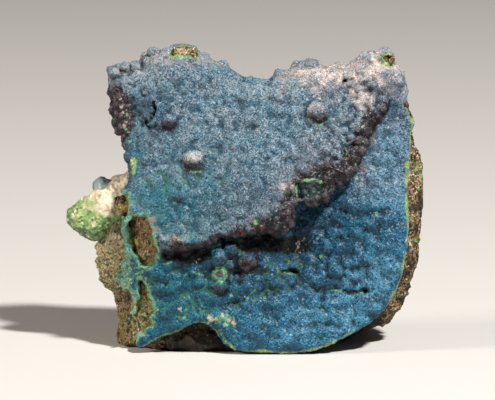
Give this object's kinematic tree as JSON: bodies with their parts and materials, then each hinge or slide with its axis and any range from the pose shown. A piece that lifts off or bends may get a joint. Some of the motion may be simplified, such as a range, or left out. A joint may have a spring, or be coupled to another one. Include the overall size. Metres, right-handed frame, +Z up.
{
  "type": "cornetite specimen",
  "caption": "Cornetite specimen: blue sparkling druzy crust with a lumpy overhanging ledge on brown ore rock, with a green malachite knob; stands on a flat base.",
  "frame": {"origin": "centre of the bounding box at its bottom, on the surface that the specimen stands on", "axes": "+X to the right of a person who faces the blue crust, -Y out of the crust towards that person, +Z up"},
  "size_m": [0.0901, 0.0432, 0.0747],
  "materials": {
    "ore_rock": "rough granular broken rock",
    "cornetite": "fine sparkling crystal druse",
    "malachite": "matt, granular"
  },
  "bodies": {
    "root": {"matrix": "ore_rock", "cornetite_crust": "cornetite", "malachite_knob": "malachite"}
  },
  "joints": []
}
